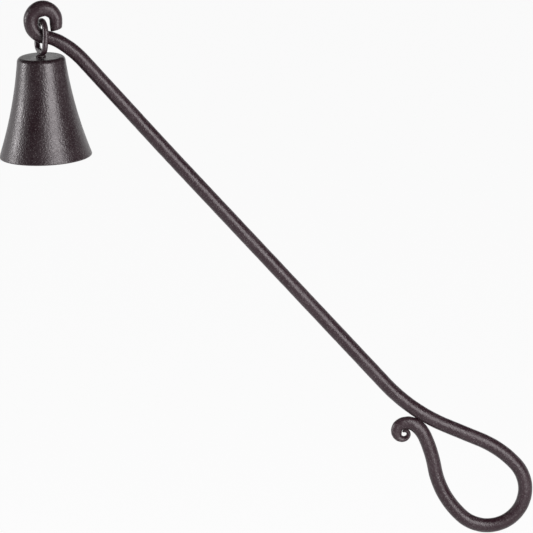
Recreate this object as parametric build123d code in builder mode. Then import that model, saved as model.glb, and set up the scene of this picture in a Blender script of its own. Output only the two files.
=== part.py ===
# Candle snuffer: a forged bar handle with a hook eye, a teardrop hand loop and a drawn scroll,
# and a flared bell that hangs from the hook on a wire eye. Millimetres, +Z up.
# The handle lies in the XZ plane, held as in use, and the bell hangs plumb below the hook.
# The origin is the centre of the hand loop's bow.
from build123d import *
from math import cos, radians, sin
import os

# Bar stock
bar_diameter = 6.3

# Hook eye, from the cut end of the bar round to the start of the shaft
tip_length = 4.1
eye_radius = 5.45
eye_turn = 165.3
eye_back_radius = 6.9
eye_back_turn = 94.4
neck_radius = 18.4
neck_turn = 23.1
shoulder_radius = 42.6
shoulder_turn = 17.3
tip_slant = 16.0
tip_chamfer = 0.5

# Shaft, which sags a little below the hook, and hand loop
shaft_upper_length = 37.9
sag_radius = 2800.0
sag_turn = 0.67
shaft_lower_length = 124.3
fall_radius = 76.8
fall_turn = 24.6
lead_length = 16.0
crest_radius = 43.9
crest_turn = 24.8
bow_radius = 16.5
bow_turn = 175.0
side_radius = 39.0
side_turn = 37.1
lift_radius = 60.0
lift_turn = 12.9

# Scroll at the end of the loop
scroll_entry_radius = 14.1
scroll_entry_turn = 29.2
scroll_radius = 6.5
scroll_step_turn = 58.0
scroll_radius_shares = (1.0, 0.60, 0.57, 0.45, 0.44, 0.27, 0.23)
scroll_depth = 2.6

# How the bar leans: the way that the hook's cut end points up, seen from the front
tip_heading = 90.0

# Hammered section along the hook: (share of the path, thickness and depth as shares of the bar)
hook_tip_shares = (0.83, 0.90)
hook_section_shares = (
    (0.06, 0.90, 0.95), (0.09, 0.92, 0.95), (0.12, 0.92, 0.96), (0.15, 0.94, 0.98), (0.18, 1.03, 1.04),
    (0.21, 1.09, 1.10), (0.24, 1.13, 1.14), (0.27, 1.15, 1.16), (0.31, 1.12, 1.13), (0.36, 1.06, 1.07),
    (0.41, 1.01, 1.02), (0.46, 1.00, 1.01), (0.52, 1.00, 1.01), (0.57, 0.98, 1.00), (0.62, 0.95, 0.99),
    (0.67, 0.93, 0.99), (0.71, 0.94, 0.99), (0.75, 0.98, 1.00),
)
hook_round_shares = (0.81, 0.88, 0.94, 1.0)

# Hammered thickness along the scroll: (share of the path, share of the bar)
scroll_thickness_shares = (
    (0.05, 0.99), (0.10, 0.97), (0.17, 0.94), (0.24, 0.92), (0.31, 0.88), (0.38, 0.83), (0.45, 0.76),
    (0.51, 0.69), (0.57, 0.60), (0.63, 0.49), (0.69, 0.38), (0.74, 0.29), (0.79, 0.22), (0.84, 0.19),
    (0.89, 0.165), (0.94, 0.14), (1.0, 0.11),
)

# Wire eye on the bell
wire_diameter = 2.5
shank_diameter = 2.3
ring_width = 11.2
ring_height = 13.38
ring_corner_radius = 3.3
ring_yaw = 18.0
ring_lean = 5.3
seat_angle = 197.0
seat_gap = 0.46
collar_diameter = 4.4
collar_thickness = 0.8
collar_gap = 0.08
collar_hole_clearance = 0.05
head_diameter = 4.6
head_height = 1.2
head_edge_radius = 0.9
washer_diameter = 9.0
washer_thickness = 1.0
swivel_gap = 0.15
swivel_clearance = 0.08

# Bell
bell_height = 44.2
crown_radius = 10.4
mouth_radius = 20.35
flare_radius = 187.0
bell_wall = 1.5
crown_edge_radius = 2.0
rim_edge_radius = 0.5

bar_radius = bar_diameter / 2
wire_radius = wire_diameter / 2
shank_radius = shank_diameter / 2

hook_bends = (
    (eye_radius, eye_turn),
    (eye_back_radius, eye_back_turn),
    (neck_radius, -neck_turn),
    (shoulder_radius, -shoulder_turn),
)
shaft_moves = (shaft_upper_length, (sag_radius, sag_turn), shaft_lower_length, (fall_radius, fall_turn), lead_length)
loop_bends = (
    (crest_radius, -crest_turn),
    (bow_radius, -bow_turn),
    (side_radius, -side_turn),
    (lift_radius, lift_turn),
)
scroll_bends = ((scroll_entry_radius, scroll_entry_turn),) + tuple(
    (scroll_radius * share, scroll_step_turn) for share in scroll_radius_shares
)


def follow(start, heading, *moves):
    """Walk straights (a length) and bends (radius, turn) in the handle's plane; give place and heading."""
    x, z = start
    for move in moves:
        if isinstance(move, tuple):
            radius, turn = move
            side = 1 if turn > 0 else -1
            x -= side * radius * (sin(radians(heading)) - sin(radians(heading + turn)))
            z += side * radius * (cos(radians(heading)) - cos(radians(heading + turn)))
            heading += turn
        else:
            x += move * cos(radians(heading))
            z += move * sin(radians(heading))
    return (x, z), heading


def draw(start, heading, moves):
    """Draw straights and tangent arcs, one after another, in the open BuildLine; give the end and heading."""
    for move in moves:
        end, end_heading = follow(start, heading, move)
        if isinstance(move, tuple):
            JernArc(start, (cos(radians(heading)), sin(radians(heading))), move[0], move[1])
        else:
            Line(start, end)
        start, heading = end, end_heading
    return start, heading


# Where the hook's end stands, so that the centre of the bow comes out at the origin
before_bow = (tip_length, *hook_bends, *shaft_moves, loop_bends[0])
bow_start, bow_heading = follow((0, 0), tip_heading, *before_bow)
bow_centre = (
    bow_start[0] + bow_radius * sin(radians(bow_heading)),
    bow_start[1] - bow_radius * cos(radians(bow_heading)),
)
tip_place = (-bow_centre[0], -bow_centre[1])
eye_start, _ = follow(tip_place, tip_heading, tip_length)
eye_centre = (
    eye_start[0] - eye_radius * sin(radians(tip_heading)),
    eye_start[1] + eye_radius * cos(radians(tip_heading)),
)

# Centre lines of the bar, in the handle's plane
with BuildLine(Plane.XZ) as hook_line:
    shaft_start, shaft_heading = draw(tip_place, tip_heading, (tip_length, *hook_bends))

with BuildLine(Plane.XZ) as shaft_line:
    scroll_start, scroll_heading = draw(shaft_start, shaft_heading, (*shaft_moves, *loop_bends))

with BuildLine(Plane.XZ) as scroll_line:
    draw(scroll_start, scroll_heading, scroll_bends)


def section_plane(path, share):
    """The plane square to a bar's centre line, with its first axis along Y."""
    return Plane(origin=path @ share, x_dir=(0, 1, 0), z_dir=path % share)


# One forged bar: hook, shaft, hand loop and scroll
with BuildPart() as handle:
    with BuildSketch(section_plane(shaft_line.wire(), 0)):
        Circle(bar_radius)
    sweep(path=shaft_line.wire())

    hook_path = hook_line.wire()
    cut_heading = radians(tip_heading + tip_slant)
    cut_plane = Plane(origin=hook_path @ 0, x_dir=(0, 1, 0), z_dir=(cos(cut_heading), 0, sin(cut_heading)))
    with BuildSketch(cut_plane):
        tip_thickness = bar_radius * hook_tip_shares[0] / cos(radians(tip_slant))
        Ellipse(bar_radius * hook_tip_shares[1], tip_thickness)
    for place_share, thickness_share, depth_share in hook_section_shares:
        with BuildSketch(section_plane(hook_path, place_share)):
            Ellipse(bar_radius * depth_share, bar_radius * thickness_share)
    for place_share in hook_round_shares:
        with BuildSketch(section_plane(hook_path, place_share)):
            Circle(bar_radius)
    loft()

    scroll_path = scroll_line.wire()
    with BuildSketch(section_plane(scroll_path, 0)):
        Circle(bar_radius)
    for place_share, thickness_share in scroll_thickness_shares:
        depth_radius = bar_radius + (scroll_depth / 2 - bar_radius) * place_share
        with BuildSketch(section_plane(scroll_path, place_share)):
            Ellipse(depth_radius, bar_radius * thickness_share)
    loft()

    tip_face = handle.faces().sort_by_distance(hook_path @ 0)[0]
    chamfer(tip_face.edges(), tip_chamfer)
handle.part.label = "handle"

# The wire eye's top bend lies in the hook's eye, against the back of it
eye_bore_radius = eye_radius - bar_radius
wire_reach = wire_radius / cos(radians(ring_yaw))
seat_offset = eye_bore_radius - wire_reach - seat_gap
swing_x = eye_centre[0] + seat_offset * cos(radians(seat_angle))
swing_z = eye_centre[1] + seat_offset * sin(radians(seat_angle))
axis_x = swing_x - ring_height * sin(radians(ring_lean))
ring_bottom_z = swing_z - ring_height * cos(radians(ring_lean))
collar_top_z = ring_bottom_z - wire_radius - collar_gap
collar_bottom_z = collar_top_z - collar_thickness
crown_z = collar_bottom_z - swivel_gap
washer_top_z = crown_z - bell_wall - swivel_gap
washer_bottom_z = washer_top_z - washer_thickness
plumb = Axis((axis_x, 0, 0), (0, 0, 1))


def level(height):
    """A level plane on the bell's axis."""
    return Plane(origin=(axis_x, 0, height))


# Closed wire eye, turned and leaning a little, with a shank through the crown, headed over inside
with BuildPart() as hanger_eye:
    yaw, lean = radians(ring_yaw), radians(ring_lean)
    ring_plane = Plane(
        origin=(axis_x, 0, ring_bottom_z),
        x_dir=(sin(yaw) * cos(lean), -cos(yaw), -sin(yaw) * sin(lean)),
        z_dir=(-cos(yaw) * cos(lean), -sin(yaw), cos(yaw) * sin(lean)),
    )
    half_width = ring_width / 2
    half_base = half_width - ring_corner_radius
    arch_start = ring_height - half_width
    with BuildLine(ring_plane) as arch_line:
        Line((half_width, ring_corner_radius), (half_width, arch_start))
        JernArc((half_width, arch_start), (0, 1), half_width, 180)
        Line((-half_width, arch_start), (-half_width, ring_corner_radius))
    with BuildSketch(Plane(origin=arch_line.wire() @ 0, z_dir=arch_line.wire() % 0)):
        Circle(wire_radius)
    sweep(path=arch_line.wire())
    with BuildLine(ring_plane) as base_line:
        JernArc((-half_width, ring_corner_radius), (0, -1), ring_corner_radius, 90)
        Line((-half_base, 0), (half_base, 0))
        JernArc((half_base, 0), (1, 0), ring_corner_radius, 90)
    with BuildSketch(Plane(origin=base_line.wire() @ 0, z_dir=base_line.wire() % 0)):
        Circle(wire_radius)
    sweep(path=base_line.wire())
    with BuildSketch(level(ring_bottom_z)):
        Circle(shank_radius)
    extrude(amount=-(ring_bottom_z - washer_bottom_z))
    with BuildSketch(level(washer_bottom_z)):
        Circle(head_diameter / 2)
    extrude(amount=-head_height)
    fillet(hanger_eye.edges().group_by(Axis.Z)[0], head_edge_radius)
hanger_eye.part.label = "hanger_eye"

# Dished collar between the wire eye and the crown
with BuildPart() as hanger_collar:
    with BuildSketch(level(collar_bottom_z)):
        Circle(collar_diameter / 2)
        Circle(shank_radius + collar_hole_clearance, mode=Mode.SUBTRACT)
    extrude(amount=collar_thickness)
    chamfer(hanger_collar.edges().group_by(Axis.Z)[-1].sort_by(SortBy.LENGTH)[-1], collar_thickness / 2)
hanger_collar.part.label = "hanger_collar"

# Washer under the shank's head, inside the bell
with BuildPart() as inner_washer:
    with BuildSketch(level(washer_bottom_z)):
        Circle(washer_diameter / 2)
        Circle(shank_radius + collar_hole_clearance, mode=Mode.SUBTRACT)
    extrude(amount=washer_thickness)
inner_washer.part.label = "inner_washer"

# Flared bell, open below, bored for the shank
with BuildPart() as bell:
    with BuildSketch(Plane(origin=(axis_x, 0, crown_z), x_dir=(1, 0, 0), z_dir=(0, -1, 0))):
        with BuildLine():
            crown_edge = (crown_radius, 0)
            mouth_edge = (mouth_radius, -bell_height)
            Line((0, 0), crown_edge)
            RadiusArc(crown_edge, mouth_edge, -flare_radius)
            Polyline(mouth_edge, (0, -bell_height), (0, 0))
        make_face()
    revolve(axis=plumb)
    fillet(bell.edges().group_by(Axis.Z)[-1], crown_edge_radius)
    offset(amount=-bell_wall, openings=bell.faces().sort_by(Axis.Z)[0])
    fillet(bell.edges().group_by(Axis.Z)[0], rim_edge_radius)
    with BuildSketch(level(crown_z)):
        Circle(shank_radius + swivel_clearance)
    extrude(amount=-2 * bell_wall, mode=Mode.SUBTRACT)
bell.part.label = "bell"

os.makedirs("parts", exist_ok=True)
export_step(handle.part, "parts/handle.step")
export_step(hanger_eye.part, "parts/hanger_eye.step")
export_step(hanger_collar.part, "parts/hanger_collar.step")
export_step(inner_washer.part, "parts/inner_washer.step")
export_step(bell.part, "parts/bell.step")
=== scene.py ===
from math import ceil, cos, pi, radians, sin, tan

import bpy
from bpy.props import (
    BoolProperty,
    FloatProperty,
    FloatVectorProperty,
    IntProperty,
    PointerProperty,
)
from mathutils import Matrix, Vector


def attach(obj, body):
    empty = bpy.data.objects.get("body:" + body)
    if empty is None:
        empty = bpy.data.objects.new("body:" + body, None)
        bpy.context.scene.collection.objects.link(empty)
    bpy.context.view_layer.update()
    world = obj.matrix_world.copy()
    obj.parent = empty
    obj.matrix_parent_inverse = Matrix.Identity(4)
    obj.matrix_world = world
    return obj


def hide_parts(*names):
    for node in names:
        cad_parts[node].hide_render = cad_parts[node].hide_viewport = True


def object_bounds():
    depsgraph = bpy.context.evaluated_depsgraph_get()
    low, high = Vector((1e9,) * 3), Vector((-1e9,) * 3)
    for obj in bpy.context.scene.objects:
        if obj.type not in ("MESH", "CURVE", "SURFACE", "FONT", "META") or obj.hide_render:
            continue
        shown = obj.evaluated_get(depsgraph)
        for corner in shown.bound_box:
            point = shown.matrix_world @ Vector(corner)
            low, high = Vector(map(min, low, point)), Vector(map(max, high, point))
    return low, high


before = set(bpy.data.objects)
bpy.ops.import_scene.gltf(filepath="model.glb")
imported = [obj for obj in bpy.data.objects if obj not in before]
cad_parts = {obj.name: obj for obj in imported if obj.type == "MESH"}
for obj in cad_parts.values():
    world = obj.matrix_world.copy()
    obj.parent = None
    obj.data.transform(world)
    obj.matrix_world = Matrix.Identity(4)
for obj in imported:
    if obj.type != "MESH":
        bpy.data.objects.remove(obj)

bl_info = {
    "name": "Candle snuffer",
    "version": (1, 0, 0),
    "blender": (4, 5, 0),
    "location": "View3D > Sidebar > Snuffer",
    "description": "Finishes a forged candle snuffer with a hanging bell and sets it in a plain studio",
    "category": "Object",
}

MM = 0.001
PICTURE_PIXELS = 533
PIXELS_PER_MM = 2.3
CAD_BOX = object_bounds()

# The bar's centre line from the hook's cut end to the scroll's tip, in millimetres and degrees:
# a length is a straight, a pair is a bend's radius and its turn
TIP_HEADING = 90.0
HOOK_MOVES = (4.1, (5.45, 165.3), (6.9, 94.4), (18.4, -23.1), (42.6, -17.3))
SHAFT_MOVES = (37.9, (2800.0, 0.67), 124.3, (76.8, 24.6), 16.0, (43.9, -24.8))
LOOP_MOVES = ((16.5, -175.0), (39.0, -37.1), (60.0, 12.9))
SCROLL_MOVES = (
    (14.1, 29.2), (6.5, 58.0), (3.9, 58.0), (3.7, 58.0), (2.93, 58.0), (2.86, 58.0), (1.76, 58.0),
    (1.5, 58.0), (1.45, 50.0),
)

# Hammered section of the bar: share of the stretch, then, as shares of the bar's radius,
# how far it reaches outside and inside the bend, and across the handle's plane
ROUND_SHARES = ((0.0, 1.0, 1.0, 1.0), (1.0, 1.0, 1.0, 1.0))
HOOK_SHARES = (
    (0.0, 0.83, 0.83, 0.90), (0.06, 0.90, 0.90, 0.95), (0.12, 0.94, 0.92, 0.96), (0.18, 1.02, 1.03, 1.04),
    (0.24, 1.12, 1.13, 1.14), (0.27, 1.14, 1.15, 1.16), (0.36, 1.06, 1.06, 1.07), (0.46, 1.00, 1.00, 1.01),
    (0.57, 0.98, 0.98, 1.00), (0.67, 0.93, 0.93, 0.99), (0.75, 0.97, 0.97, 1.00), (0.85, 1.00, 1.00, 1.00),
    (1.0, 1.00, 1.00, 1.00),
)
SCROLL_SHARES = (
    (0.0, 1.00, 1.00, 1.00), (0.08, 1.04, 0.98, 0.96), (0.15, 1.09, 0.96, 0.92), (0.23, 1.05, 0.94, 0.88),
    (0.32, 0.97, 0.92, 0.83), (0.40, 0.89, 0.90, 0.79), (0.48, 0.80, 0.86, 0.75), (0.54, 0.72, 0.88, 0.72),
    (0.59, 0.64, 0.90, 0.70), (0.63, 0.56, 0.84, 0.68), (0.67, 0.48, 0.70, 0.65), (0.72, 0.36, 0.58, 0.62),
    (0.77, 0.29, 0.50, 0.58), (0.83, 0.22, 0.45, 0.54), (0.88, 0.20, 0.42, 0.49), (0.92, 0.20, 0.38, 0.44),
    (0.97, 0.20, 0.30, 0.38), (1.0, 0.16, 0.14, 0.34),
)

EDGE_RINGS = 4            # rings that round the edge of the hook's cut end
FEWEST_PARTS = 2          # parts that the shortest straight or bend is cut into
FADE_SHARE = 0.5          # last share of the hook, over which its squareness fades out
SAME_HEADING = 0.001      # radians by which the straight behind the cut end may turn
MARK_MIDDLE = 0.9         # height of the hammer texture that stays on the bar's surface

# What every coated piece shares
WEAR_REACH = 0.45 * MM    # width of the rubbed line along an edge
WEAR_BREAK = 2.0 * MM     # size of the breaks in that line
GLINT_FLECK_STRENGTH = 0.34     # how much of its own colour a bright fleck shows: a painted glint, and a light grain of the coating
RUB_STRENGTH = 0.5        # how much of the iron's colour a rubbed edge shows
CLOUD_DULLNESS = 0.08     # roughness that a lighter cloud adds
GLINT_FLECK_DULLNESS = -0.10    # roughness that a bright fleck, partly a painted glint, adds
PIT_COLOUR = (0.008, 0.006, 0.007)
GLOSS_TINT = (1.0, 0.955, 0.975)

# Lamps round the object: name, azimuth and elevation in degrees, distance, width and height
# in metres, radiance
LAMPS = (
    ("left_softbox", -92, 9, 1.3, 0.25, 0.5, 14.0),
    ("front_softbox", 28, 11, 0.6, 0.34, 0.69, 5.4),
    ("upper_softbox", 11, 27, 0.75, 0.24, 0.20, 4.0),
)
# Dark flags: name, azimuth and elevation in degrees, distance, width and height in metres
FLAGS = (
    ("front_flag", -32, 5, 1.2, 1.25, 2.0),
    ("top_flag", 0, 90, 0.8, 3.0, 3.0),
    ("right_flag", 79, 22, 1.2, 0.85, 1.9),
)
LAMP_WATTS = 4            # watts per square metre of an area lamp that give it a radiance of 1
FLAG_COLOUR = (0.01, 0.01, 0.01)
WHITE = (1, 1, 1)
FLOOR_GLOW = 0.93         # white share of the floor as it is seen; the rest keeps the shadow
FLOOR_RADIUS = 30.0
FLOOR_CORNERS = 96
CLIP_RANGE = 100          # how many times nearer and farther than the object the camera sees


class SnufferBar(bpy.types.PropertyGroup):
    """The forged bar of the handle."""

    diameter: FloatProperty(
        name="Bar diameter", description="Thickness of the round bar",
        unit="LENGTH", min=1 * MM, default=6.24 * MM,
    )
    tip_slant: FloatProperty(
        name="Tip slant", description="How far the hook's cut end leans from square",
        subtype="ANGLE", default=radians(16.0),
    )
    tip_edge: FloatProperty(
        name="Tip edge", description="Rounding of the edge round the hook's cut end",
        unit="LENGTH", min=0, default=0.45 * MM,
    )
    squareness: FloatProperty(
        name="Squareness", description="How square the hammered hook is, where 0 is round",
        subtype="FACTOR", min=0, max=1, default=0.05,
    )
    station_step: FloatProperty(
        name="Station step", description="Distance between the rings of the bar's mesh",
        unit="LENGTH", min=0.1 * MM, default=0.4 * MM,
    )
    ring_corners: IntProperty(
        name="Ring corners", description="Number of corners of each ring of the bar's mesh",
        min=8, default=56,
    )


class SnufferFinish(bpy.types.PropertyGroup):
    """The baked coating on the iron, and how hand work shows through it."""

    coat_colour: FloatVectorProperty(
        name="Coat colour", description="Colour of the coating in its darker parts",
        subtype="COLOR", size=3, min=0, max=1, default=(0.0190, 0.0080, 0.0115),
    )
    worn_colour: FloatVectorProperty(
        name="Handled colour", description="Colour of the coating where it has lightened",
        subtype="COLOR", size=3, min=0, max=1, default=(0.0280, 0.0155, 0.0195),
    )
    # Colour of the bright grains: light grains of the coating, and painted glints that stand in for the
    # coating's sparkle
    glint_fleck_colour: FloatVectorProperty(
        name="Glint fleck colour", description="Colour of the fine bright grains in the coating",
        subtype="COLOR", size=3, min=0, max=1, default=(0.26, 0.24, 0.24),
    )
    edge_colour: FloatVectorProperty(
        name="Edge colour", description="Colour of the iron where an edge is rubbed",
        subtype="COLOR", size=3, min=0, max=1, default=(0.20, 0.185, 0.18),
    )
    roughness: FloatProperty(
        name="Roughness", description="How dull the coating is",
        subtype="FACTOR", min=0, max=1, default=0.31,
    )
    gloss: FloatProperty(
        name="Gloss", description="How strongly the coating reflects, where 0.5 is plain varnish",
        subtype="FACTOR", min=0, max=1, default=0.55,
    )
    grain_size: FloatProperty(
        name="Grain size", description="Width of the coating's grains",
        unit="LENGTH", min=0.05 * MM, default=0.75 * MM,
    )
    grain_depth: FloatProperty(
        name="Grain depth", description="Height of the coating's grains",
        unit="LENGTH", min=0, default=0.078 * MM,
    )
    hammer_size: FloatProperty(
        name="Hammer mark size", description="Width of a hammer mark on the bar",
        unit="LENGTH", min=0.5 * MM, default=7.0 * MM,
    )
    hammer_depth: FloatProperty(
        name="Hammer mark depth", description="Depth of a hammer mark on the bar",
        unit="LENGTH", min=0, default=0.07 * MM,
    )


class SnufferStage(bpy.types.PropertyGroup):
    """The camera, the floor and the lamps."""

    camera_elevation: FloatProperty(
        name="Camera elevation", description="How far the camera looks down",
        subtype="ANGLE", default=radians(13.0),
    )
    camera_roll: FloatProperty(
        name="Camera roll", description="How far the picture is turned about its middle",
        subtype="ANGLE", default=radians(-2.55),
    )
    camera_lens: FloatProperty(
        name="Lens", description="Focal length of the camera in millimetres",
        unit="CAMERA", min=20, default=1000,
    )
    view_width: FloatProperty(
        name="View width", description="Width of what the picture shows, at the object",
        unit="LENGTH", min=10 * MM, default=PICTURE_PIXELS / PIXELS_PER_MM * MM,
    )
    view_middle: FloatVectorProperty(
        name="View middle", description="Point of the handle's plane at the middle of the picture",
        subtype="TRANSLATION", size=3, default=(-91.99 * MM, 0, 103.76 * MM),
    )
    floor_drop: FloatProperty(
        name="Floor drop", description="Distance from the object's lowest point to the floor",
        unit="LENGTH", min=0, default=30 * MM,
    )
    floor_colour: FloatVectorProperty(
        name="Floor colour", description="Colour of the floor",
        subtype="COLOR", size=3, min=0, max=1, default=(0.86, 0.86, 0.86),
    )
    room_colour: FloatVectorProperty(
        name="Room colour", description="Colour of the light that the room throws on the object",
        subtype="COLOR", size=3, min=0, max=1, default=(0.34, 0.34, 0.35),
    )
    lamp_level: FloatProperty(
        name="Lamp level", description="Brightness of the lamps, where 1 is the plain level",
        min=0, default=1.0,
    )
    flags_shown: BoolProperty(
        name="Flags", description="Hang the dark studio flags that only reflections see",
        default=True,
    )


def rgba(colour):
    """An opaque colour for a node's socket."""
    return (*colour, 1.0)


def feed(tree, value, socket):
    """Link a value into a socket, or set it there where it is a plain number or colour."""
    if isinstance(value, bpy.types.NodeSocket):
        tree.links.new(value, socket)
    else:
        socket.default_value = value


def new_group(name, inputs, outputs):
    """A shader node group of plain values; gives the group, its input node and its output node."""
    group = bpy.data.node_groups.new(name, "ShaderNodeTree")
    for label, value in inputs:
        socket = group.interface.new_socket(label, in_out="INPUT", socket_type="NodeSocketFloat")
        socket.default_value = value
    for label in outputs:
        group.interface.new_socket(label, in_out="OUTPUT", socket_type="NodeSocketFloat")
    return group, group.nodes.new("NodeGroupInput"), group.nodes.new("NodeGroupOutput")


def math_node(tree, operation, *values):
    """The result of a Math node; each value is a number or a socket."""
    node = tree.nodes.new("ShaderNodeMath")
    node.operation = operation
    for slot, value in enumerate(values):
        feed(tree, value, node.inputs[slot])
    return node.outputs[0]


def scaled_place(tree, size):
    """Object coordinates in metres divided by a size, so that one unit is one mark."""
    place = tree.nodes.new("ShaderNodeTexCoord").outputs["Object"]
    over = math_node(tree, "DIVIDE", 1.0, size)
    scale = tree.nodes.new("ShaderNodeVectorMath")
    scale.operation = "SCALE"
    tree.links.new(place, scale.inputs[0])
    tree.links.new(over, scale.inputs["Scale"])
    return scale.outputs[0]


def noise(tree, place, scale, detail, rough=0.5):
    """A noise texture's value at a place."""
    node = tree.nodes.new("ShaderNodeTexNoise")
    node.inputs["Scale"].default_value = scale
    node.inputs["Detail"].default_value = detail
    node.inputs["Roughness"].default_value = rough
    tree.links.new(place, node.inputs["Vector"])
    return node.outputs["Fac"]


def cells(tree, place, scale, feature="F1"):
    """A cell texture; gives the node."""
    node = tree.nodes.new("ShaderNodeTexVoronoi")
    node.feature = feature
    node.inputs["Scale"].default_value = scale
    tree.links.new(place, node.inputs["Vector"])
    return node


def ramp(tree, value, low, high):
    """A value stretched so that low gives 0 and high gives 1, with soft ends."""
    node = tree.nodes.new("ShaderNodeMapRange")
    node.interpolation_type = "SMOOTHSTEP"
    node.inputs["From Min"].default_value = low
    node.inputs["From Max"].default_value = high
    tree.links.new(value, node.inputs["Value"])
    return node.outputs["Result"]


def coating_grain():
    """Node group: the sandy grain of the coating, as a height, a mask of bright grains that are partly
    painted glints, and a mask of pits.
    """
    group, taken, given = new_group(
        "Coating grain", (("Grain size", 0.6 * MM),), ("Height", "Glint flecks", "Pits"),
    )
    fine_share, coarse_share = 0.7, 1.1
    place = scaled_place(group, taken.outputs["Grain size"])
    coarse = noise(group, place, scale=0.55, detail=2.0, rough=0.6)
    fine = noise(group, place, scale=1.5, detail=1.0)
    grains = cells(group, place, scale=1.0, feature="SMOOTH_F1")
    crown = math_node(group, "SUBTRACT", 1.0, grains.outputs["Distance"])
    height = math_node(group, "MULTIPLY_ADD", fine, fine_share, crown)
    height = math_node(group, "MULTIPLY_ADD", coarse, coarse_share, height)
    group.links.new(height, given.inputs["Height"])
    # Bright grains: light grains of the coating that also serve as painted glints
    glint_specks = cells(group, place, scale=1.7)
    split = group.nodes.new("ShaderNodeSeparateColor")
    group.links.new(glint_specks.outputs["Color"], split.inputs["Color"])
    near = ramp(group, glint_specks.outputs["Distance"], low=0.55, high=0.15)
    chosen = ramp(group, split.outputs["Red"], low=0.55, high=0.95)
    group.links.new(math_node(group, "MULTIPLY", chosen, near), given.inputs["Glint flecks"])
    rare = ramp(group, split.outputs["Green"], low=0.90, high=0.98)
    group.links.new(math_node(group, "MULTIPLY", rare, near), given.inputs["Pits"])
    return group


def hammer_marks():
    """Node group: the shallow flats that the hammer leaves, as a height, and the coat's clouds."""
    group, taken, given = new_group(
        "Hammer marks", (("Mark size", 7.0 * MM),), ("Height", "Cloud"),
    )
    broad_share = 0.8
    place = scaled_place(group, taken.outputs["Mark size"])
    marks = cells(group, place, scale=2.2, feature="SMOOTH_F1")
    broad = noise(group, place, scale=1.1, detail=2.0)
    height = math_node(group, "MULTIPLY_ADD", broad, broad_share, marks.outputs["Distance"])
    group.links.new(height, given.inputs["Height"])
    cloud = noise(group, place, scale=0.6, detail=4.0, rough=0.6)
    group.links.new(ramp(group, cloud, low=0.38, high=0.66), given.inputs["Cloud"])
    return group


def edge_wear():
    """Node group: a broken mask along the sharp edges, where the coating is rubbed thin."""
    group, taken, given = new_group(
        "Edge wear", (("Reach", 0.4 * MM), ("Break size", 2.0 * MM)), ("Mask",),
    )
    bevel = group.nodes.new("ShaderNodeBevel")
    bevel.samples = 4
    group.links.new(taken.outputs["Reach"], bevel.inputs["Radius"])
    facing = group.nodes.new("ShaderNodeNewGeometry").outputs["Normal"]
    likeness = group.nodes.new("ShaderNodeVectorMath")
    likeness.operation = "DOT_PRODUCT"
    group.links.new(bevel.outputs["Normal"], likeness.inputs[0])
    group.links.new(facing, likeness.inputs[1])
    sharp = ramp(group, likeness.outputs["Value"], low=0.985, high=0.90)
    place = scaled_place(group, taken.outputs["Break size"])
    broken = noise(group, place, scale=1.0, detail=3.0, rough=0.6)
    broken = ramp(group, broken, low=0.35, high=0.62)
    group.links.new(math_node(group, "MULTIPLY", sharp, broken), given.inputs["Mask"])
    return group


def shared_group(name):
    """One of the shared node groups, built the first time that it is asked for."""
    makers = {"Coating grain": coating_grain, "Hammer marks": hammer_marks, "Edge wear": edge_wear}
    return bpy.data.node_groups.get(name) or makers[name]()


def place_group(tree, name, **values):
    """A shared group as a node of a material, with its own values."""
    node = tree.nodes.new("ShaderNodeGroup")
    node.node_tree = shared_group(name)
    for label, value in values.items():
        node.inputs[label.replace("_", " ")].default_value = value
    return node


def mix_colour(tree, amount, under, over):
    """A colour mixed over another by a mask; each colour is a value or a socket."""
    node = tree.nodes.new("ShaderNodeMix")
    node.data_type = "RGBA"
    tree.links.new(amount, node.inputs["Factor"])
    for label, value in (("A", under), ("B", over)):
        feed(tree, value, next(s for s in node.inputs if s.name == label and s.type == "RGBA"))
    return next(s for s in node.outputs if s.type == "RGBA")


def mix_shaders(tree, amount, under, over):
    """A shader mixed over another; the amount is a number or a socket."""
    node = tree.nodes.new("ShaderNodeMixShader")
    feed(tree, amount, node.inputs["Fac"])
    tree.links.new(under, node.inputs[1])
    tree.links.new(over, node.inputs[2])
    return node.outputs["Shader"]


def bump(tree, height, distance, under=None):
    """A bump of a real height, laid over another normal if one is given."""
    node = tree.nodes.new("ShaderNodeBump")
    node.inputs["Strength"].default_value = 1.0
    node.inputs["Distance"].default_value = distance
    tree.links.new(height, node.inputs["Height"])
    if under is not None:
        tree.links.new(under, node.inputs["Normal"])
    return node.outputs["Normal"]


def cleared_tree(owner):
    """The emptied node tree of a material or a world."""
    owner.use_nodes = True
    owner.node_tree.nodes.clear()
    return owner.node_tree


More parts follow.
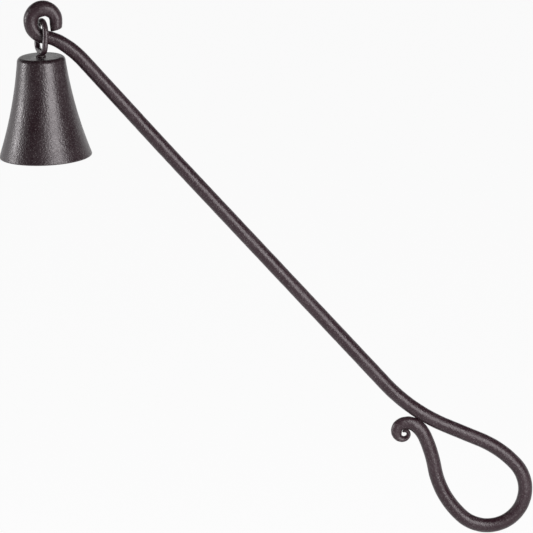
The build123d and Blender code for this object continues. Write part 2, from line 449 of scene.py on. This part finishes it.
def coated_iron(
    name, finish, grain_share=1.0, hammer_share=1.0, dull_share=1.0, gloss_share=1.0, tone=1.0,
):
    """Baked dark coating over forged iron: grain, bright grains that are partly painted glints, hammer
    marks, clouds and rubbed edges.

    The shares scale the finish's values for this piece, and the tone its two coat colours.
    """
    material = bpy.data.materials.new(name)
    tree = cleared_tree(material)
    grain = place_group(tree, "Coating grain", Grain_size=finish.grain_size * grain_share)
    marks = place_group(tree, "Hammer marks", Mark_size=finish.hammer_size)
    wear = place_group(tree, "Edge wear", Reach=WEAR_REACH, Break_size=WEAR_BREAK)
    cloud, glint_specks = marks.outputs["Cloud"], grain.outputs["Glint flecks"]

    coat = rgba(tone * part for part in finish.coat_colour)
    worn = rgba(tone * part for part in finish.worn_colour)
    colour = mix_colour(tree, cloud, coat, worn)
    # Painted glints: bright grains mixed into the colour, which are also light grains of the coating
    glint_flecks = math_node(tree, "MULTIPLY", glint_specks, GLINT_FLECK_STRENGTH)
    colour = mix_colour(tree, glint_flecks, colour, rgba(finish.glint_fleck_colour))
    colour = mix_colour(tree, grain.outputs["Pits"], colour, rgba(PIT_COLOUR))
    rubbed = math_node(tree, "MULTIPLY", wear.outputs["Mask"], RUB_STRENGTH)
    colour = mix_colour(tree, rubbed, colour, rgba(finish.edge_colour))

    roughness = finish.roughness * dull_share
    roughness = math_node(tree, "MULTIPLY_ADD", cloud, CLOUD_DULLNESS, roughness)
    roughness = math_node(tree, "MULTIPLY_ADD", glint_specks, GLINT_FLECK_DULLNESS, roughness)

    normal = bump(tree, marks.outputs["Height"], finish.hammer_depth * hammer_share)
    normal = bump(tree, grain.outputs["Height"], finish.grain_depth, normal)

    surface = tree.nodes.new("ShaderNodeBsdfPrincipled")
    surface.inputs["Specular IOR Level"].default_value = finish.gloss * gloss_share
    surface.inputs["Specular Tint"].default_value = rgba(GLOSS_TINT)
    tree.links.new(colour, surface.inputs["Base Color"])
    tree.links.new(roughness, surface.inputs["Roughness"])
    tree.links.new(normal, surface.inputs["Normal"])
    end = tree.nodes.new("ShaderNodeOutputMaterial")
    tree.links.new(surface.outputs["BSDF"], end.inputs["Surface"])
    return material


def paint(node, material):
    """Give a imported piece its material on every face, and smooth shading."""
    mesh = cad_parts[node].data
    mesh.materials.clear()
    mesh.materials.append(material)
    for face in mesh.polygons:
        face.material_index = 0
    mesh.polygons.foreach_set("use_smooth", [True] * len(mesh.polygons))


def walk(place, heading, moves, step):
    """Stations along straights and bends, each (x, z, heading, length so far).

    Gives them with the place, heading and length at the end.
    """
    stations, run = [], 0.0
    x, z = place
    for move in moves:
        radius, turn = move if isinstance(move, tuple) else (0.0, 0.0)
        length = radius * MM * abs(radians(turn)) or move * MM
        parts = max(FEWEST_PARTS, ceil(length / step))
        for i in range(parts):
            stations.append((x, z, heading, run))
            middle = heading + radians(turn) * 0.5 / parts
            x += length / parts * cos(middle)
            z += length / parts * sin(middle)
            heading += radians(turn) / parts
            run += length / parts
    return stations, (x, z), heading, run


def share_at(table, share):
    """The section's reaches at a share of a stretch, eased between the rows of its table."""
    for low, high in zip(table, table[1:]):
        if share <= high[0]:
            part = (share - low[0]) / (high[0] - low[0])
            part = part * part * (3 - 2 * part)
            return [a + (b - a) * part for a, b in zip(low[1:], high[1:])]
    return table[-1][1:]


def bar_start(step):
    """Where the hook's cut end lies, so that the centre of the loop's bow is the origin."""
    before_bow = (*HOOK_MOVES, *SHAFT_MOVES)
    _, (x, z), heading, _ = walk((0, 0), radians(TIP_HEADING), before_bow, step)
    bow_radius = LOOP_MOVES[0][0] * MM
    return -x - bow_radius * sin(heading), -z + bow_radius * cos(heading)


def bar_stations(bar):
    """Stations along the whole bar: x, z, heading, section and how far it is hammered square."""
    start, heading = bar_start(bar.station_step), radians(TIP_HEADING)
    stretches = (
        (HOOK_MOVES, HOOK_SHARES, 1.0),
        (SHAFT_MOVES + LOOP_MOVES, ROUND_SHARES, 0.0),
        (SCROLL_MOVES, SCROLL_SHARES, 0.0),
    )
    found = []
    for moves, table, forged in stretches:
        stations, start, heading, length = walk(start, heading, moves, bar.station_step)
        for x, z, way, run in stations:
            fade = min(1.0, (1 - run / length) / FADE_SHARE)
            found.append((x, z, way, share_at(table, run / length), forged * fade))
    found.append((*start, heading, table[-1][1:], 0.0))
    return found


def bar_rings(bar):
    """Rings of the bar's mesh: station, inset and step ahead, rounded at the hook's cut end."""
    stations = bar_stations(bar)
    rings = []
    for turn in range(EDGE_RINGS):
        ease = pi / 2 * turn / EDGE_RINGS
        rings.append((stations[0], bar.tip_edge * (1 - sin(ease)), bar.tip_edge * (1 - cos(ease))))
    skipped = ceil(bar.tip_edge / bar.station_step) + 1
    return rings + [(station, 0.0, 0.0) for station in stations[skipped:]]


def tip_shear(bar, from_tip, heading):
    """How far a ring leans with the hook's slanted cut end, which the straight behind it eases."""
    tip_length = HOOK_MOVES[0] * MM
    if abs(heading - radians(TIP_HEADING)) < SAME_HEADING and from_tip < tip_length:
        return -tan(bar.tip_slant) * (1 - from_tip / tip_length)
    return 0.0


def ring_points(bar, x, z, heading, section, forged, inset, shear):
    """The corners of one ring round the bar's centre line."""
    outside, inside, across = section
    radius, points = bar.diameter / 2, []
    power = 1 / (1 + bar.squareness * forged)
    for i in range(bar.ring_corners):
        angle = 2 * pi * i / bar.ring_corners
        out, side = cos(angle), sin(angle)
        reach = radius * (inside if out > 0 else outside) - inset
        out = abs(out) ** power * (1 if out > 0 else -1) * reach
        side = abs(side) ** power * (1 if side > 0 else -1) * (radius * across - inset)
        along = shear * out
        points.append((
            x - out * sin(heading) + along * cos(heading),
            -side,
            z + out * cos(heading) + along * sin(heading),
        ))
    return points


def forged_mesh(bar):
    """The bar as one closed mesh of rings, with its slanted cut end and the scroll's thin tip."""
    rings, corners = bar_rings(bar), bar.ring_corners
    first_x, first_z = rings[0][0][:2]
    points = []
    for (x, z, heading, section, forged), inset, ahead in rings:
        x += ahead * cos(heading)
        z += ahead * sin(heading)
        from_tip = ((x - first_x) ** 2 + (z - first_z) ** 2) ** 0.5
        shear = tip_shear(bar, from_tip, heading)
        points += ring_points(bar, x, z, heading, section, forged, inset, shear)
    faces = []
    last = (len(rings) - 1) * corners
    for low in range(0, last, corners):
        high = low + corners
        for i in range(corners):
            after = (i + 1) % corners
            faces.append((low + i, low + after, high + after, high + i))
    faces.append(tuple(range(corners))[::-1])
    faces.append(tuple(range(last, last + corners)))
    mesh = bpy.data.meshes.new("forged_bar")
    mesh.from_pydata(points, [], faces)
    mesh.polygons.foreach_set("use_smooth", [True] * len(mesh.polygons))
    return mesh


def hammered(piece, finish):
    """Shallow hammer marks, cut almost wholly inwards, so that the piece keeps its size."""
    texture = bpy.data.textures.new(piece.name + "_marks", "VORONOI")
    texture.noise_scale = finish.hammer_size / 2
    texture.distance_metric = "DISTANCE"
    dent = piece.modifiers.new("hammer_marks", "DISPLACE")
    dent.texture = texture
    dent.texture_coords = "LOCAL"
    dent.mid_level = MARK_MIDDLE
    dent.strength = finish.hammer_depth


class SNUFFER_OT_forged_bar(bpy.types.Operator):
    """Finish the forged bar: hook, shaft, hand loop and scroll"""

    bl_idname = "snuffer.forged_bar"
    bl_label = "Forged bar"

    def execute(self, context):
        finish = context.scene.snuffer_finish
        bar = bpy.data.objects.new("forged_bar", forged_mesh(context.scene.snuffer_bar))
        bar.data.materials.append(coated_iron("coated_bar", finish, gloss_share=0.66))
        context.scene.collection.objects.link(bar)
        hammered(bar, finish)
        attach(bar, "handle")
        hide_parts("handle")
        return {"FINISHED"}


class SNUFFER_OT_hanger(bpy.types.Operator):
    """Finish the wire eye with its shank, its collar and the washer inside the bell"""

    bl_idname = "snuffer.hanger"
    bl_label = "Hanger"

    def execute(self, context):
        finish = context.scene.snuffer_finish
        wire = coated_iron("coated_wire", finish, grain_share=0.7, hammer_share=0.4, dull_share=0.85)
        for node in ("hanger_eye", "hanger_collar", "inner_washer"):
            paint(node, wire)
        return {"FINISHED"}


class SNUFFER_OT_bell(bpy.types.Operator):
    """Finish the flared bell"""

    bl_idname = "snuffer.bell"
    bl_label = "Bell"

    def execute(self, context):
        finish = context.scene.snuffer_finish
        paint("bell", coated_iron("coated_bell", finish, hammer_share=0.3, tone=0.65))
        return {"FINISHED"}


def set_round(piece, target, azimuth, elevation, distance):
    """Place a lamp or a flag round the target and turn it to face that.

    Azimuth 0 is the camera's side, and 90 is its right.
    """
    a, e = radians(azimuth), radians(elevation)
    away = Vector((sin(a) * cos(e), -cos(a) * cos(e), sin(e)))
    piece.location = target + away * distance
    piece.rotation_mode = "QUATERNION"
    piece.rotation_quaternion = away.to_track_quat("Z", "Y")
    bpy.context.scene.collection.objects.link(piece)


def softbox(target, level, name, azimuth, elevation, distance, width, height, radiance):
    """A rectangular soft lamp that looks at the target."""
    lamp = bpy.data.lights.new(name, "AREA")
    lamp.shape = "RECTANGLE"
    lamp.size = width
    lamp.size_y = height
    lamp.energy = radiance * level * LAMP_WATTS * width * height
    set_round(bpy.data.objects.new(name, lamp), target, azimuth, elevation, distance)


def flag_cloth():
    """The matt black of the studio flags."""
    material = bpy.data.materials.new("black_flag")
    material.use_nodes = True
    cloth = material.node_tree.nodes["Principled BSDF"]
    cloth.inputs["Base Color"].default_value = rgba(FLAG_COLOUR)
    cloth.inputs["Roughness"].default_value = 1.0
    cloth.inputs["Specular IOR Level"].default_value = 0.0
    return material


def flag(target, cloth, name, azimuth, elevation, distance, width, height):
    """A dark studio flag that only reflections see."""
    mesh = bpy.data.meshes.new(name)
    across, up = width / 2, height / 2
    corners = ((-across, -up, 0), (across, -up, 0), (across, up, 0), (-across, up, 0))
    mesh.from_pydata(corners, [], [(0, 1, 2, 3)])
    mesh.materials.append(cloth)
    piece = bpy.data.objects.new(name, mesh)
    set_round(piece, target, azimuth, elevation, distance)
    piece.visible_camera = False
    piece.visible_diffuse = False
    piece.visible_shadow = False
    piece.visible_transmission = False


def background_mix(tree, lighting, seen):
    """Mix what lights the object with what the camera, the object's gloss and glass see."""
    path = tree.nodes.new("ShaderNodeLightPath")
    looks = math_node(tree, "MAXIMUM", path.outputs["Is Camera Ray"], path.outputs["Is Glossy Ray"])
    looks = math_node(tree, "MAXIMUM", looks, path.outputs["Is Transmission Ray"])
    return mix_shaders(tree, looks, lighting, seen)


def background(tree, colour):
    """A world's plain light of one colour."""
    node = tree.nodes.new("ShaderNodeBackground")
    node.inputs["Color"].default_value = rgba(colour)
    return node.outputs["Background"]


def studio_room(colour):
    """White where the background is seen, and an even soft light elsewhere."""
    world = bpy.data.worlds.new("studio_room")
    tree = cleared_tree(world)
    mix = background_mix(tree, background(tree, colour), background(tree, WHITE))
    end = tree.nodes.new("ShaderNodeOutputWorld")
    tree.links.new(mix, end.inputs["Surface"])
    bpy.context.scene.world = world


def floor_material(colour):
    """Pale floor that reads as white and keeps a soft shadow."""
    material = bpy.data.materials.new("pale_floor")
    tree = cleared_tree(material)
    matt = tree.nodes.new("ShaderNodeBsdfDiffuse")
    matt.inputs["Color"].default_value = rgba(colour)
    glow = tree.nodes.new("ShaderNodeEmission")
    glow.inputs["Color"].default_value = rgba(WHITE)
    seen = mix_shaders(tree, FLOOR_GLOW, matt.outputs["BSDF"], glow.outputs["Emission"])
    end = tree.nodes.new("ShaderNodeOutputMaterial")
    tree.links.new(background_mix(tree, matt.outputs["BSDF"], seen), end.inputs["Surface"])
    return material


def pale_floor(height, colour):
    """A round floor, wide enough to fill the picture when it is seen from above."""
    ring = []
    for i in range(FLOOR_CORNERS):
        angle = 2 * pi * i / FLOOR_CORNERS
        ring.append((FLOOR_RADIUS * cos(angle), FLOOR_RADIUS * sin(angle), height))
    mesh = bpy.data.meshes.new("floor")
    mesh.from_pydata(ring, [], [tuple(range(FLOOR_CORNERS))])
    mesh.materials.append(floor_material(colour))
    piece = bpy.data.objects.new("floor", mesh)
    bpy.context.scene.collection.objects.link(piece)


def studio_camera(stage):
    """A long lens, square to the snuffer's plane but a little above it and slightly rolled."""
    data = bpy.data.cameras.new("studio_camera")
    data.lens = stage.camera_lens
    distance = data.lens * stage.view_width / data.sensor_width
    tilt, roll = stage.camera_elevation, stage.camera_roll
    level_right = Vector((1, 0, 0))
    level_up = Vector((0, sin(tilt), cos(tilt)))
    right = level_right * cos(roll) + level_up * sin(roll)
    up = level_up * cos(roll) - level_right * sin(roll)
    back = Vector((0, -cos(tilt), sin(tilt)))
    place = Vector(stage.view_middle) + back * distance
    camera = bpy.data.objects.new("studio_camera", data)
    camera.matrix_world = Matrix.Translation(place) @ Matrix((right, up, back)).transposed().to_4x4()
    data.clip_start = distance / CLIP_RANGE
    data.clip_end = distance * CLIP_RANGE
    bpy.context.scene.collection.objects.link(camera)
    bpy.context.scene.camera = camera


class SNUFFER_OT_studio(bpy.types.Operator):
    """Set the floor, the room, the lamps, the flags and the camera"""

    bl_idname = "snuffer.studio"
    bl_label = "Studio"

    def execute(self, context):
        stage = context.scene.snuffer_stage
        low, high = CAD_BOX
        middle = (low + high) / 2
        pale_floor(low.z - stage.floor_drop, stage.floor_colour)
        studio_room(stage.room_colour)
        for lamp in LAMPS:
            softbox(middle, stage.lamp_level, *lamp)
        if stage.flags_shown:
            cloth = flag_cloth()
            for hung in FLAGS:
                flag(middle, cloth, *hung)
        studio_camera(stage)
        return {"FINISHED"}


class SNUFFER_PT_panel(bpy.types.Panel):
    """Lists the steps and their values"""

    bl_label = "Candle snuffer"
    bl_idname = "SNUFFER_PT_panel"
    bl_space_type = "VIEW_3D"
    bl_region_type = "UI"
    bl_category = "Snuffer"

    def draw(self, context):
        layout, scene = self.layout, context.scene
        for settings in (scene.snuffer_bar, scene.snuffer_finish, scene.snuffer_stage):
            box = layout.box()
            for name in settings.__annotations__:
                box.prop(settings, name)
        for step in STEPS:
            layout.operator(step.bl_idname)


STEPS = (SNUFFER_OT_forged_bar, SNUFFER_OT_hanger, SNUFFER_OT_bell, SNUFFER_OT_studio)
CLASSES = (SnufferBar, SnufferFinish, SnufferStage, *STEPS, SNUFFER_PT_panel)


def register():
    for made in CLASSES:
        bpy.utils.register_class(made)
    bpy.types.Scene.snuffer_bar = PointerProperty(type=SnufferBar)
    bpy.types.Scene.snuffer_finish = PointerProperty(type=SnufferFinish)
    bpy.types.Scene.snuffer_stage = PointerProperty(type=SnufferStage)


def unregister():
    del bpy.types.Scene.snuffer_stage
    del bpy.types.Scene.snuffer_finish
    del bpy.types.Scene.snuffer_bar
    for made in reversed(CLASSES):
        bpy.utils.unregister_class(made)


def main():
    register()
    bpy.context.scene.view_settings.view_transform = "Standard"
    bpy.ops.snuffer.forged_bar()
    bpy.ops.snuffer.hanger()
    bpy.ops.snuffer.bell()
    bpy.ops.snuffer.studio()


if __name__ == "__main__":
    main()
